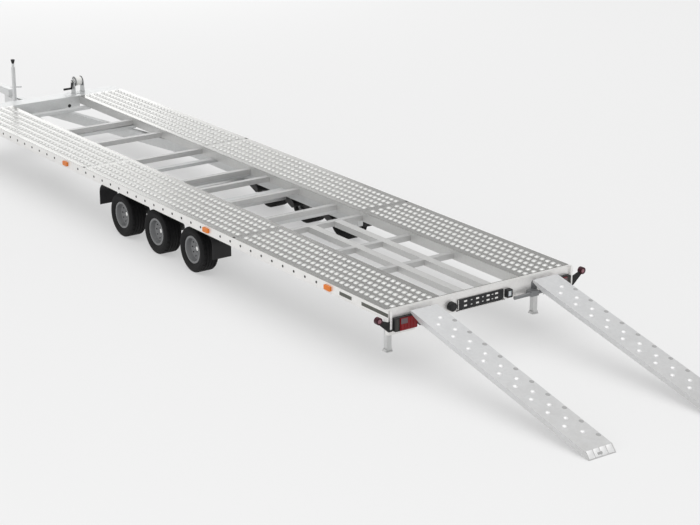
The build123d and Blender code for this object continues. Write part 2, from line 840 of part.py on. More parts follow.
# Jockey wheel, clamp and outer tube on the left beam
def jockeyWheel():
    x = ahead(jockeyPlace)
    y = jockeySide
    with BuildPart() as outer:
        with BuildSketch(Plane.XY.offset(jockeyTubeFoot)):
            with Locations((x, y)):
                Circle(jockeyTubeRadius)
        extrude(amount=jockeyTubeTop - jockeyTubeFoot)
        with BuildSketch(Plane.XY.offset(beamTop - beamDepth + 20)):
            with BuildLine():
                Polyline(
                    (x - 40, jockeyBeamFace + 40 * beamSlope),
                    (x + 40, jockeyBeamFace - 40 * beamSlope),
                    (x + 40, y),
                    (x - 40, y),
                    close=True,
                )
            make_face()
        extrude(amount=beamDepth - 40)
        with BuildSketch(Plane.XY.offset(jockeyTubeTop)):
            with Locations((x, y)):
                Circle(jockeyTubeRadius - 8)
        extrude(amount=40)
        with BuildSketch(Plane.XY.offset(jockeyTubeFoot)):
            with Locations((x, y)):
                Circle(jockeyInnerRadius + runningGap)
        extrude(amount=jockeyTubeTop - jockeyTubeFoot - 60, mode=Mode.SUBTRACT)
    save(outer, "jockey_tube")
    with BuildPart() as knob:
        with BuildSketch(Plane.XY.offset(jockeyTubeTop + 40)):
            with Locations((x, y)):
                Circle(26)
        extrude(amount=50)
    save(knob, "jockey_knob")
    forkTop = 2 * jockeyWheelRadius + 30
    with BuildPart() as inner:
        with BuildSketch(Plane.XY.offset(forkTop + runningGap)):
            with Locations((x, y)):
                Circle(jockeyInnerRadius)
        extrude(amount=jockeyTubeFoot + 150 - forkTop)
    save(inner, "jockey_inner_tube")
    with BuildPart() as fork:
        with BuildSketch(Plane.XY.offset(forkTop - 8)):
            with Locations((x - jockeyTrail / 2, y)):
                Rectangle(jockeyTrail + 50, jockeyWheelWidth + 30)
        extrude(amount=8)
        for edge in (-jockeyWheelWidth / 2 - 15, jockeyWheelWidth / 2 + 9):
            with BuildSketch(Plane.XZ.offset(-y - edge)):
                with BuildLine():
                    Polyline(
                        (x - jockeyTrail - 18, jockeyWheelRadius - 18),
                        (x - jockeyTrail + 18, jockeyWheelRadius - 18),
                        (x + 25, forkTop - 8),
                        (x - jockeyTrail - 25, forkTop - 8),
                        close=True,
                    )
                make_face()
            extrude(amount=-6)
        with BuildSketch(Plane.XZ.offset(-y + jockeyWheelWidth / 2 + 15)):
            with Locations((x - jockeyTrail, jockeyWheelRadius)):
                Circle(7)
        extrude(amount=-jockeyWheelWidth - 30)
    save(fork, "jockey_fork")
    with BuildPart() as roller:
        with BuildSketch(Plane.XZ.offset(-y + jockeyWheelWidth / 2)):
            with Locations((x - jockeyTrail, jockeyWheelRadius)):
                Circle(jockeyWheelRadius)
                Circle(7 + runningGap, mode=Mode.SUBTRACT)
        extrude(amount=-jockeyWheelWidth)
        chamfer(roller.faces().filter_by(Axis.Y).edges().group_by(SortBy.RADIUS)[-1], 8)
    save(roller, "jockey_roller")


# Overrun coupling, housing on the drawbar's tip, bellows, head and brake lever
def coupling():
    nose = deckLength + noseReach
    housingStart = nose - headLength - bellowsLength - housingLength
    with BuildPart() as housing:
        with BuildSketch(Plane.YZ.offset(ahead(housingStart))):
            with Locations((0, couplingHeight)):
                RectangleRounded(housingWidth, 2 * (couplingHeight - beamTop), 12)
        extrude(amount=housingLength)
    save(housing, "coupling_housing")
    with BuildPart() as bellows:
        with BuildSketch(Plane.YZ.offset(ahead(housingStart + housingLength))):
            with Locations((0, couplingHeight)):
                Circle(bellowsRadius)
        extrude(amount=bellowsLength)
    save(bellows, "coupling_bellows")
    with BuildPart() as head:
        with BuildSketch(Plane.XZ.offset(-35)):
            with BuildLine():
                Polyline(
                    (ahead(nose - headLength), couplingHeight - 30),
                    (ahead(nose - headLength), couplingHeight + 30),
                    (ahead(nose - 110), couplingHeight + 30),
                    (ahead(nose - 20), couplingHeight + 10),
                    (ahead(nose), couplingHeight - 25),
                    (ahead(nose), couplingHeight - 60),
                    (ahead(nose - 110), couplingHeight - 60),
                    (ahead(nose - 130), couplingHeight - 30),
                    close=True,
                )
            make_face()
        extrude(amount=70)
        with BuildSketch(Plane.XY.offset(couplingHeight - 60)):
            with Locations((ahead(nose - 55), 0)):
                Circle(ballRadius + runningGap)
        extrude(amount=45, mode=Mode.SUBTRACT)
    save(head, "coupling_head")
    with BuildPart() as lever:
        with BuildSketch(Plane.XZ.offset(housingWidth / 2)):
            with BuildLine():
                Polyline(
                    (ahead(housingStart + housingLength - 60), couplingHeight + 10),
                    (ahead(housingStart + housingLength - 30), couplingHeight - 10),
                    (ahead(housingStart - 160), couplingHeight + 90),
                    (ahead(housingStart - 170), couplingHeight + 112),
                    close=True,
                )
            make_face()
        extrude(amount=14)
    save(lever, "handbrake_lever")


for side in (1, -1):
    sideRail(side)
    drawbarBeam(side)
    innerRail(side)
    outriggers(side)
    deckTrack(side)
    swingArms(side)
    mudguard(side)
    ramp(side)
    leg(side)
    for number, place in enumerate(wheelPlaces, 1):
        wheel(place, side, number)
frontCrossmember()
rearCrossmember()
crossMembers()
stringers()
bolsters()
axleTubes()
hookTubes()
legSleeves()
rearLamps()
plateHolder()
smallLamps()
cornerMarkers()
sideMarkers()
winch()
jockeyWheel()
coupling()
print("rear edge of the deck at x", round(rearX, 2), "ramp pitch", round(degrees(rampPitch), 3))
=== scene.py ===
import math

import bmesh
import bpy
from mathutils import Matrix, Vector


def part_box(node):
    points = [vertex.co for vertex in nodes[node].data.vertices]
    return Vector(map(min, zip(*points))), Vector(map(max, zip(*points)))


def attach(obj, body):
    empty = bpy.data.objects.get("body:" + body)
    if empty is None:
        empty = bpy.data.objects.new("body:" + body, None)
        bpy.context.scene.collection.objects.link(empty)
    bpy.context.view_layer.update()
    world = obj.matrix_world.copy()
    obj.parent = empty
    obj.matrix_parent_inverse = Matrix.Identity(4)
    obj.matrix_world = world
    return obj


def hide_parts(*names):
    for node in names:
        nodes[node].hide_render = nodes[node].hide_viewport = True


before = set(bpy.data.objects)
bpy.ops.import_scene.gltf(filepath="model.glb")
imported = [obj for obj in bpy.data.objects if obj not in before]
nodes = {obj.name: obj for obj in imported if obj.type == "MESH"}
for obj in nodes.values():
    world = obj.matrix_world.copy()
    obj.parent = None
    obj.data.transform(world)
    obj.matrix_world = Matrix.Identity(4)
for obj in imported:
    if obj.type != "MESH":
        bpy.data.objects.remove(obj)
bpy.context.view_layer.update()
print("frame loaded with", len(nodes), "nodes")


# Corners and middle of one node of the frame
def low(node):
    return Vector(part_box(node)[0])


def high(node):
    return Vector(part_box(node)[1])


def centre(node):
    return (low(node) + high(node)) / 2


# The trailer's own measures, read from the frame
trackStart = low("deck_track_left").x
trackEnd = high("deck_track_left").x
trackInner = low("deck_track_left").y
deckSide = high("deck_track_left").y
trackMiddle = (trackInner + deckSide) / 2
deckTop = high("deck_track_left").z
deckRear = low("rear_crossmember").x
deckFront = high("front_crossmember").x

# Each side's sign, and turns that lay a piece's own Z axis across the trailer or along it
sides = {"left": 1, "right": -1}
faceOut = {"left": (-math.pi / 2, 0, 0), "right": (math.pi / 2, 0, 0)}
faceAcross = (math.pi / 2, 0, 0)
faceFront = (0, math.pi / 2, 0)
faceRear = (0, -math.pi / 2, 0)

# Kinds of node sockets, and the places of the colour sockets on a mix node
number = "NodeSocketFloat"
triple = "NodeSocketVector"
mixSocket = {"dark": 6, "light": 7, "result": 2}


def feed(tree, socket, value):
    # Another node's output is linked, anything else is set as it is
    if hasattr(value, "is_linked"):
        tree.links.new(value, socket)
    else:
        socket.default_value = value


def newGroup(name, inputs, outputs):
    group = bpy.data.node_groups.new(name, "ShaderNodeTree")
    for label, kind in {"Vector": triple, **inputs}.items():
        group.interface.new_socket(name=label, in_out="INPUT", socket_type=kind)
    for label in outputs:
        group.interface.new_socket(name=label, in_out="OUTPUT", socket_type=number)
    start = group.nodes.new("NodeGroupInput")
    end = group.nodes.new("NodeGroupOutput")
    return group, start, end


def mathNode(tree, operation, *values, clamp=False):
    node = tree.nodes.new("ShaderNodeMath")
    node.operation = operation
    node.use_clamp = clamp
    for index, value in enumerate(values):
        feed(tree, node.inputs[index], value)
    return node.outputs[0]


def noiseNode(tree, vector, scale, detail, rough):
    node = tree.nodes.new("ShaderNodeTexNoise")
    for label, value in {"Vector": vector, "Scale": scale, "Detail": detail, "Roughness": rough}.items():
        feed(tree, node.inputs[label], value)
    return node.outputs["Fac"]


# Zinc spangle: flakes of slightly different grey with soft cloudy patches over them
spangleTrim = {"cloudScale": 2.5, "cloudDetail": 5.0, "cloudRough": 0.6, "flakeShare": 0.35, "cloudShare": 0.65}


def spangleGroup():
    group, start, end = newGroup("zincSpangle", {"Flake": number}, ("Mask", "Height"))
    vector = start.outputs["Vector"]
    flakes = group.nodes.new("ShaderNodeTexVoronoi")
    feed(group, flakes.inputs["Vector"], vector)
    feed(group, flakes.inputs["Scale"], start.outputs["Flake"])
    tone = group.nodes.new("ShaderNodeRGBToBW")
    feed(group, tone.inputs["Color"], flakes.outputs["Color"])
    cloud = noiseNode(group, vector, spangleTrim["cloudScale"], spangleTrim["cloudDetail"], spangleTrim["cloudRough"])
    flakePart = mathNode(group, "MULTIPLY", tone.outputs[0], spangleTrim["flakeShare"])
    mask = mathNode(group, "MULTIPLY_ADD", cloud, spangleTrim["cloudShare"], flakePart)
    feed(group, end.inputs["Mask"], mask)
    feed(group, end.inputs["Height"], tone.outputs[0])
    return group


# Rolling marks: fine noise drawn out one way, with cloudy patches
rollingTrim = {"streakDetail": 4.0, "streakRough": 0.6, "cloudScale": 1.3, "cloudDetail": 4.0, "cloudRough": 0.55,
               "share": 0.5}


def rollingGroup():
    group, start, end = newGroup("rollingMarks", {"Fine": number, "Along": triple}, ("Mask", "Height"))
    vector = start.outputs["Vector"]
    stretch = group.nodes.new("ShaderNodeVectorMath")
    stretch.operation = "MULTIPLY"
    feed(group, stretch.inputs[0], vector)
    feed(group, stretch.inputs[1], start.outputs["Along"])
    streaks = noiseNode(group, stretch.outputs[0], start.outputs["Fine"],
                        rollingTrim["streakDetail"], rollingTrim["streakRough"])
    cloud = noiseNode(group, vector, rollingTrim["cloudScale"], rollingTrim["cloudDetail"], rollingTrim["cloudRough"])
    streakPart = mathNode(group, "MULTIPLY", streaks, rollingTrim["share"])
    cloudPart = mathNode(group, "MULTIPLY", cloud, rollingTrim["share"])
    feed(group, end.inputs["Mask"], mathNode(group, "ADD", streakPart, cloudPart))
    feed(group, end.inputs["Height"], streaks)
    return group


# Road dust: thick low down, gone above the given height
dustTrim = {"scale": 9.0, "detail": 6.0, "rough": 0.65}


def dustGroup():
    group, start, end = newGroup("roadDust", {"Top": number, "Amount": number}, ("Mask",))
    vector = start.outputs["Vector"]
    top = start.outputs["Top"]
    parts = group.nodes.new("ShaderNodeSeparateXYZ")
    feed(group, parts.inputs[0], vector)
    depth = mathNode(group, "SUBTRACT", top, parts.outputs["Z"])
    depth = mathNode(group, "DIVIDE", depth, top, clamp=True)
    patches = noiseNode(group, vector, dustTrim["scale"], dustTrim["detail"], dustTrim["rough"])
    mask = mathNode(group, "MULTIPLY", depth, patches)
    feed(group, end.inputs["Mask"], mathNode(group, "MULTIPLY", mask, start.outputs["Amount"], clamp=True))
    return group


spangle = spangleGroup()
rolling = rollingGroup()
dust = dustGroup()


def placeGroup(tree, group, **values):
    node = tree.nodes.new("ShaderNodeGroup")
    node.node_tree = group
    coords = tree.nodes.new("ShaderNodeTexCoord")
    feed(tree, node.inputs["Vector"], coords.outputs["Object"])
    for label, value in values.items():
        feed(tree, node.inputs[label], value)
    return node


def mixColour(tree, mask, dark, light):
    node = tree.nodes.new("ShaderNodeMix")
    node.data_type = "RGBA"
    feed(tree, node.inputs["Factor"], mask)
    for end, colour in (("dark", dark), ("light", light)):
        feed(tree, node.inputs[mixSocket[end]], (*colour, 1) if isinstance(colour, tuple) else colour)
    return node.outputs[mixSocket["result"]]


def spread(tree, mask, least, most):
    node = tree.nodes.new("ShaderNodeMapRange")
    for label, value in {"Value": mask, "To Min": least, "To Max": most}.items():
        feed(tree, node.inputs[label], value)
    return node.outputs[0]


def bump(tree, height, strength, distance):
    node = tree.nodes.new("ShaderNodeBump")
    for label, value in {"Strength": strength, "Distance": distance, "Height": height}.items():
        feed(tree, node.inputs[label], value)
    return node.outputs[0]


def newFinish(name):
    material = bpy.data.materials.new(name)
    material.use_nodes = True
    return material, material.node_tree


def setShader(tree, **values):
    # Base_Color stands for the socket Base Color, and so on
    for label, value in values.items():
        feed(tree, tree.nodes["Principled BSDF"].inputs[label.replace("_", " ")], value)


# Galvanised steel, with dust low down
zincSurface = {"dirtTop": 0.5, "dirt": 0.5, "dirtColour": (0.38, 0.36, 0.33), "bump": (0.12, 0.001)}


def zincFinish(name, dark, light, metal, rough, flake):
    material, tree = newFinish(name)
    zinc = placeGroup(tree, spangle, Flake=flake)
    dirt = placeGroup(tree, dust, Top=zincSurface["dirtTop"], Amount=zincSurface["dirt"])
    base = mixColour(tree, zinc.outputs["Mask"], dark, light)
    setShader(tree, Base_Color=mixColour(tree, dirt.outputs["Mask"], base, zincSurface["dirtColour"]), Metallic=metal,
              Roughness=spread(tree, zinc.outputs["Mask"], *rough),
              Normal=bump(tree, zinc.outputs["Height"], *zincSurface["bump"]))
    return material


# Clean metal with rolling marks along the trailer
rolledSurface = {"fine": 40.0, "along": (0.04, 1, 1), "bump": (0.15, 0.0006)}


def rolledFinish(name, dark, light, metal, rough):
    material, tree = newFinish(name)
    marks = placeGroup(tree, rolling, Fine=rolledSurface["fine"], Along=rolledSurface["along"])
    setShader(tree, Base_Color=mixColour(tree, marks.outputs["Mask"], dark, light), Metallic=metal,
              Roughness=spread(tree, marks.outputs["Mask"], *rough),
              Normal=bump(tree, marks.outputs["Height"], *rolledSurface["bump"]))
    return material


# Paint, plastic and rubber, with dust low down
paintSurface = {"fine": 90.0, "along": (1, 1, 1), "lift": 1.25, "liftLeast": 0.004, "dirtColour": (0.30, 0.28, 0.25),
                "smoother": 0.06, "rougher": 0.08, "bump": (0.1, 0.0008)}


def paintedFinish(name, colour, rough, dirtTop, dirt, metal=0.0, coat=0.0, gloss=0.5):
    material, tree = newFinish(name)
    grime = placeGroup(tree, dust, Top=dirtTop, Amount=dirt)
    marks = placeGroup(tree, rolling, Fine=paintSurface["fine"], Along=paintSurface["along"])
    lifted = tuple(min(1.0, c * paintSurface["lift"] + paintSurface["liftLeast"]) for c in colour)
    base = mixColour(tree, marks.outputs["Mask"], colour, lifted)
    least, most = rough - paintSurface["smoother"], rough + paintSurface["rougher"]
    setShader(tree, Base_Color=mixColour(tree, grime.outputs["Mask"], base, paintSurface["dirtColour"]),
              Metallic=metal, Coat_Weight=coat, Specular_IOR_Level=gloss,
              Roughness=spread(tree, marks.outputs["Mask"], least, most),
              Normal=bump(tree, marks.outputs["Height"], *paintSurface["bump"]))
    return material


# Lamp lenses, a little milky
lensSurface = {"fine": 160.0, "along": (1, 1, 0.1), "deep": 0.6, "rough": 0.28, "coat": 0.12, "gloss": 0.3,
               "milk": 0.1, "bump": (0.2, 0.001)}


def lensFinish(name, colour):
    material, tree = newFinish(name)
    marks = placeGroup(tree, rolling, Fine=lensSurface["fine"], Along=lensSurface["along"])
    deep = tuple(c * lensSurface["deep"] for c in colour)
    setShader(tree, Base_Color=mixColour(tree, marks.outputs["Mask"], deep, colour), Roughness=lensSurface["rough"],
              Coat_Weight=lensSurface["coat"], Specular_IOR_Level=lensSurface["gloss"],
              Subsurface_Weight=lensSurface["milk"], Normal=bump(tree, marks.outputs["Height"], *lensSurface["bump"]))
    return material


# Colours and roughness run from the first value to the second, and flake is the scale of the flakes
zincs = {
    "galvanised": {
        "dark": (0.60, 0.61, 0.61), "light": (0.76, 0.77, 0.77), "metal": 0.6, "rough": (0.34, 0.5), "flake": 55.0},
    "trackPlate": {
        "dark": (0.36, 0.36, 0.345), "light": (0.52, 0.52, 0.505), "metal": 0.85, "rough": (0.17, 0.27), "flake": 40.0},
    # Darker copy of the galvanised zinc for the inner rails and stringers: painted shade
    "innerZinc": {
        "dark": (0.56, 0.56, 0.55), "light": (0.69, 0.69, 0.68), "metal": 0.6, "rough": (0.34, 0.5), "flake": 50.0},
    # Darker copy of the galvanised zinc for the cross members: painted shade
    "crossZinc": {
        "dark": (0.49, 0.49, 0.485), "light": (0.61, 0.61, 0.605), "metal": 0.6, "rough": (0.34, 0.5), "flake": 50.0},
    "rampPlate": {
        "dark": (0.60, 0.605, 0.61), "light": (0.73, 0.735, 0.74), "metal": 0.5, "rough": (0.32, 0.44), "flake": 40.0},
    # Lighter copy of the galvanised zinc for the side rails, rear crossmember, rail lips, marker clamps and the plate
    # holder's large slots, edges and lip: painted light
    "rail": {
        "dark": (0.76, 0.75, 0.735), "light": (0.90, 0.89, 0.875), "metal": 0.6, "rough": (0.28, 0.42), "flake": 45.0},
}
rolledMetals = {
    "polished": {"dark": (0.84, 0.84, 0.83), "light": (0.95, 0.95, 0.94), "metal": 0.75, "rough": (0.16, 0.3)},
    # Track buttons: a lighter copy of the track metal, painted highlight
    "stud": {"dark": (0.60, 0.60, 0.59), "light": (0.72, 0.72, 0.71), "metal": 0.6, "rough": (0.24, 0.36)},
    # Ramp studs and foot teeth: a lighter copy of the ramp metal, painted highlight
    "rampStud": {"dark": (0.78, 0.78, 0.78), "light": (0.88, 0.88, 0.88), "metal": 0.3, "rough": (0.30, 0.42)},
}
paints = {
    "wheelPaint": {
        "colour": (0.165, 0.168, 0.172), "rough": 0.42, "dirtTop": 0.3, "dirt": 0.1, "metal": 0.25, "coat": 0.1},
    "wheelNut": {"colour": (0.26, 0.262, 0.265), "rough": 0.4, "dirtTop": 0.3, "dirt": 0.1, "metal": 0.4},
    "seamLine": {"colour": (0.17, 0.17, 0.17), "rough": 0.5, "dirtTop": 0.6, "dirt": 0.1, "metal": 0.4},
    # Near black for the swing arms and brake plates under the inner rail: painted shade
    "blackSteel": {"colour": (0.016, 0.016, 0.017), "rough": 0.5, "dirtTop": 0.5, "dirt": 0.12, "metal": 0.2},
    # Dark grey steel: the winch flanges' own grey, and painted shade on the hook tubes under the rear crossmember
    "tubeSteel": {"colour": (0.20, 0.205, 0.21), "rough": 0.4, "dirtTop": 0.6, "dirt": 0.1, "metal": 0.5},
    "tyre": {"colour": (0.007, 0.007, 0.0075), "rough": 0.7, "dirtTop": 0.30, "dirt": 0.04, "gloss": 0.18},
    "blackPlastic": {"colour": (0.010, 0.010, 0.011), "rough": 0.5, "dirtTop": 0.6, "dirt": 0.06, "gloss": 0.35},
    "blackRubber": {"colour": (0.014, 0.014, 0.014), "rough": 0.7, "dirtTop": 0.6, "dirt": 0.06, "gloss": 0.3},
    # Near black discs for rail holes, wheel disc openings and seam notches: painted shade inside the holes
    "darkHole": {"colour": (0.008, 0.008, 0.008), "rough": 0.8, "dirtTop": 0.6, "dirt": 0.03, "gloss": 0.1},
    "shadowHole": {"colour": (0.32, 0.32, 0.32), "rough": 0.6, "dirtTop": 0.6, "dirt": 0.1},
    # Dark strip colour: the lamp bars' own dark, and painted shade for the strips at the rail's rear and the line
    # across the deck's rear edge
    "gripStrip": {"colour": (0.085, 0.087, 0.075), "rough": 0.7, "dirtTop": 0.6, "dirt": 0.1},
    "strap": {"colour": (0.74, 0.74, 0.72), "rough": 0.8, "dirtTop": 0.6, "dirt": 0.1},
}
lenses = {
    "redLens": {"colour": (0.25, 0.001, 0.004)},
    "deepLens": {"colour": (0.045, 0.003, 0.010)},
    "paleRed": {"colour": (0.33, 0.15, 0.18)},
    "amberLens": {"colour": (0.85, 0.22, 0.01)},
    "smokeLens": {"colour": (0.16, 0.11, 0.12)},
    "clearLens": {"colour": (0.75, 0.76, 0.78)},
}

looks = {}
for makeFinish, sizes in ((zincFinish, zincs), (rolledFinish, rolledMetals), (paintedFinish, paints),
                          (lensFinish, lenses)):
    for name, size in sizes.items():
        looks[name] = makeFinish(name, **size)

# The start of a node's name decides its look. All others are galvanised
nodeLooks = {
    # The side rails and rear crossmember take a lighter zinc copy as painted light; the inner rails, stringers and
    # cross members take darker copies as painted shade
    "deck_track": "trackPlate", "ramp_": "rampPlate", "side_rail": "rail", "rear_crossmember": "rail",
    "inner_rail": "innerZinc", "stringers": "innerZinc", "cross_members": "crossZinc", "hook_tubes": "tubeSteel",
    "swing_arms": "blackSteel", "mudguard": "blackPlastic", "plate_holder": "blackPlastic",
    "small_rear_lamps": "blackPlastic", "rear_lamp_housings": "blackPlastic", "jockey_knob": "blackPlastic",
    "winch_crank": "blackPlastic", "marker_arms": "blackRubber", "coupling_bellows": "blackRubber",
    "jockey_roller": "blackRubber", "rear_lamp_lenses": "redLens", "corner_markers": "deepLens",
    "plate_lamp_lens": "clearLens", "side_markers": "amberLens", "winch_drum": "strap",
}


def lookFor(name):
    if name.endswith("_rim"):
        return "wheelPaint"
    if name.endswith("_tyre"):
        return "tyre"
    for start, look in nodeLooks.items():
        if name.startswith(start):
            return look
    return "galvanised"


def dress(obj, look):
    obj.data.materials.clear()
    obj.data.materials.append(looks[look])


for name, obj in nodes.items():
    dress(obj, lookFor(name))
print("finishes set")


def selectOnly(*objects):
    if bpy.context.object and bpy.context.object.mode != "OBJECT":
        bpy.ops.object.mode_set(mode="OBJECT")
    bpy.ops.object.select_all(action="DESELECT")
    for obj in objects:
        obj.select_set(True)
    if objects:
        bpy.context.view_layer.objects.active = objects[0]


def applyPlace(obj):
    selectOnly(obj)
    bpy.ops.object.transform_apply(location=True, rotation=True, scale=True)
    return obj


def settle(obj, name, look, body="chassis"):
    obj.name = name
    obj.data.name = name
    applyPlace(obj)
    dress(obj, look)
    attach(obj, body)
    return obj


def joinCopies(master, places, name, look, body="chassis", turns=(0, 0, 0)):
    # One master, copied with its own mesh to each place, then joined. A list of turns has one for each place
    copies = []
    for index, place in enumerate(places):
        twin = master.copy()
        twin.data = master.data.copy()
        twin.location = place
        twin.rotation_euler = turns[index] if isinstance(turns, list) else turns
        bpy.context.collection.objects.link(twin)
        copies.append(twin)
    selectOnly(*copies)
    if len(copies) > 1:
        bpy.ops.object.join()
    return settle(bpy.context.view_layer.objects.active, name, look, body)


def pickFaces(obj, test):
    # Opens the piece in edit mode, with only those faces selected that pass the test
    bpy.context.view_layer.objects.active = obj
    bpy.ops.object.mode_set(mode="EDIT")
    bpy.ops.mesh.select_mode(type="FACE")
    bpy.ops.mesh.select_all(action="DESELECT")
    mesh = bmesh.from_edit_mesh(obj.data)
    for face in mesh.faces:
        face.select = test(face)
    mesh.select_flush_mode()
    bmesh.update_edit_mesh(obj.data)


def smooth(obj, angle=40):
    selectOnly(obj)
    bpy.ops.object.shade_smooth_by_angle(angle=math.radians(angle))
    return obj


def turned(profile, count, ring=False, turn=(0, 0, 0)):
    # A turned shape about Z: a circle drawn out along its axis and sized at each step
    selectOnly()
    along, radius = profile[0]
    bpy.ops.mesh.primitive_circle_add(vertices=count, radius=radius, fill_type="NOTHING", location=(0, 0, along))
    obj = applyPlace(bpy.context.object)
    bpy.ops.object.mode_set(mode="EDIT")
    bpy.ops.mesh.select_mode(type="VERT")
    bpy.ops.mesh.select_all(action="SELECT")
    for nextAlong, nextRadius in profile[1:]:
        bpy.ops.mesh.extrude_region_move(TRANSFORM_OT_translate={"value": (0, 0, nextAlong - along)})
        grow = nextRadius / radius
        bpy.ops.transform.resize(value=(grow, grow, 1), center_override=(0, 0, nextAlong))
        along, radius = nextAlong, nextRadius
    if ring:
        bpy.ops.mesh.select_mode(type="EDGE")
        bpy.ops.mesh.select_all(action="DESELECT")
        bpy.ops.mesh.select_non_manifold()
        bpy.ops.mesh.bridge_edge_loops()
    else:
        bpy.ops.mesh.select_all(action="SELECT")
        bpy.ops.mesh.fill_holes(sides=0)
    bpy.ops.mesh.select_all(action="SELECT")
    bpy.ops.mesh.normals_make_consistent(inside=False)
    bpy.ops.object.mode_set(mode="OBJECT")
    obj.rotation_euler = turn
    return smooth(applyPlace(obj))


def mirrored(profile):
    # A profile with its other half, the same the other way from the middle
    return profile + [(-along, radius) for along, radius in reversed(profile)]


def shaped(size):
    # A turned shape whose steps are a place along the axis and a share of the radius
    return turned([(along, size["radius"] * share) for along, share in size["steps"]], size["count"])


def dome(size):
    # A raised stud whose steps are shares of the rise and of the radius
    steps = [(size["rise"] * up, size["radius"] * share) for up, share in size["steps"]]
    return turned([(-size["sunk"], size["radius"])] + steps, size["count"])


def block(size, bevel, place=(0, 0, 0)):
    # A block at its size with its edges bevelled in two steps
    selectOnly()
    bpy.ops.mesh.primitive_cube_add(size=1, location=(0, 0, 0), scale=size)
    obj = applyPlace(bpy.context.object)
    bpy.ops.object.mode_set(mode="EDIT")
    bpy.ops.mesh.select_all(action="SELECT")
    bpy.ops.mesh.bevel(offset=bevel, segments=2, affect="EDGES")
    bpy.ops.object.mode_set(mode="OBJECT")
    obj.location = place
    return smooth(applyPlace(obj))


def discard(*objects):
    for obj in objects:
        bpy.data.objects.remove(obj)


# Raised buttons on the wheel tracks, lighter than the track plate as painted highlight. The sheets meet at the seam
# rows, which have no buttons
buttons = {
    "pitchAlong": 0.0759, "pitchAcross": 0.100, "across": 5, "firstRow": 0.028,
    "radius": 0.0262, "rise": 0.012, "sunk": 0.0005, "stretch": 1.12, "count": 12,
    "steps": ((0.45, 0.86), (0.85, 0.55), (1, 0.22)),
    "seamRows": (32, 72), "seamShift": 0.014, "seamWide": 0.006, "seamTall": 0.0012, "seamSpare": 0.004,
    "seamBevel": 0.0004, "notch": (0.034, 0.020, 0.0016), "notchInset": 0.002, "notchBevel": 0.0006,
}


def trackButtons():
    master = dome(buttons)
    master.scale = (1, buttons["stretch"], 1)
    applyPlace(master)
    pitch = buttons["pitchAlong"]
    start = trackStart + buttons["firstRow"]
    rows = 1 + int((trackEnd - trackStart - buttons["firstRow"]) / pitch)
    columns = [(column - (buttons["across"] - 1) / 2) * buttons["pitchAcross"] for column in range(buttons["across"])]
    seams = [start + row * pitch + buttons["seamShift"] for row in buttons["seamRows"]]
    seamLong = deckSide - trackInner - buttons["seamSpare"]
    for name, side in sides.items():
        places = [(start + row * pitch, side * (trackMiddle + column), deckTop)
                  for row in range(rows) if row not in buttons["seamRows"] for column in columns]
        # Buttons lighter than the plate they are pressed from: painted highlight
        joinCopies(master, places, "track_buttons_" + name, "stud")
        seam = block((buttons["seamWide"], seamLong, buttons["seamTall"]), buttons["seamBevel"])
        places = [(place, side * trackMiddle, deckTop) for place in seams]
        joinCopies(seam, places, "track_seams_" + name, "seamLine")
        # Dark notches at the seam ends: painted shade
        notch = block(buttons["notch"], buttons["notchBevel"])
        edge = side * (deckSide - buttons["notch"][1] / 2 - buttons["notchInset"])
        places = [(place, edge, deckTop) for place in seams]
        joinCopies(notch, places, "seam_notches_" + name, "darkHole")
        discard(seam, notch)
    discard(master)


trackButtons()
print("track buttons made")


# Tyres: the wall from the bead outwards as (across, radius), then the tread with its grooves and lugs
tyre = {
    "count": 96, "radius": 0.2345,
    "grooves": (0.050, 0.018), "groove": 0.007, "grooveWide": 0.008, "grooveSlope": 0.001,
    "wall": [(0.0755, 0.1276), (0.0755, 0.1435), (0.086, 0.150), (0.0945, 0.170), (0.0975, 0.190), (0.0969, 0.2035),
             (0.0950, 0.2050), (0.0905, 0.221), (0.0845, 0.2300), (0.0785, 0.2340)],
    "lugEvery": 4, "lugShift": 2, "lugDepth": 0.005, "lugFrom": 0.962, "lugSide": (0.054, 0.092), "smooth": 32,
}


def tyreProfile():
    top = tyre["radius"]
    foot = top - tyre["groove"]
    half = tyre["grooveWide"] / 2
    slope = tyre["grooveSlope"]
    tread = []
    for middle in tyre["grooves"]:
        tread += [(middle + half, top), (middle + half - slope, foot), (middle - half + slope, foot),
                  (middle - half, top)]
    return mirrored(tyre["wall"] + tread)


def inLug(face):
    # The shoulders' lugs, with the two shoulders out of step
    middle = face.calc_center_median()
    index = int((math.atan2(middle.y, middle.x) % (2 * math.pi)) / (2 * math.pi / tyre["count"]))
    index += 0 if middle.z > 0 else tyre["lugShift"]
    outward = math.hypot(middle.x, middle.y) > tyre["radius"] * tyre["lugFrom"]
    shoulder = tyre["lugSide"][0] < abs(middle.z) < tyre["lugSide"][1]
    return shoulder and outward and index % tyre["lugEvery"] == 0


wheels = [("wheel_%d_%s" % (place, side), faceOut[side]) for place in (1, 2, 3) for side in sides]


def tyres():
    master = turned(tyreProfile(), tyre["count"], ring=True)
    pickFaces(master, inLug)
    bpy.ops.mesh.extrude_region_shrink_fatten(TRANSFORM_OT_shrink_fatten={"value": -tyre["lugDepth"]})
    bpy.ops.object.mode_set(mode="OBJECT")
    smooth(master, tyre["smooth"])
    for name, turn in wheels:
        piece = joinCopies(master, [centre(name + "_tyre")], name + "_tread_tyre", "tyre", body=name,
                           turns=turn)
        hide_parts(name + "_tyre")
    discard(master)


tyres()
print("tyres made")


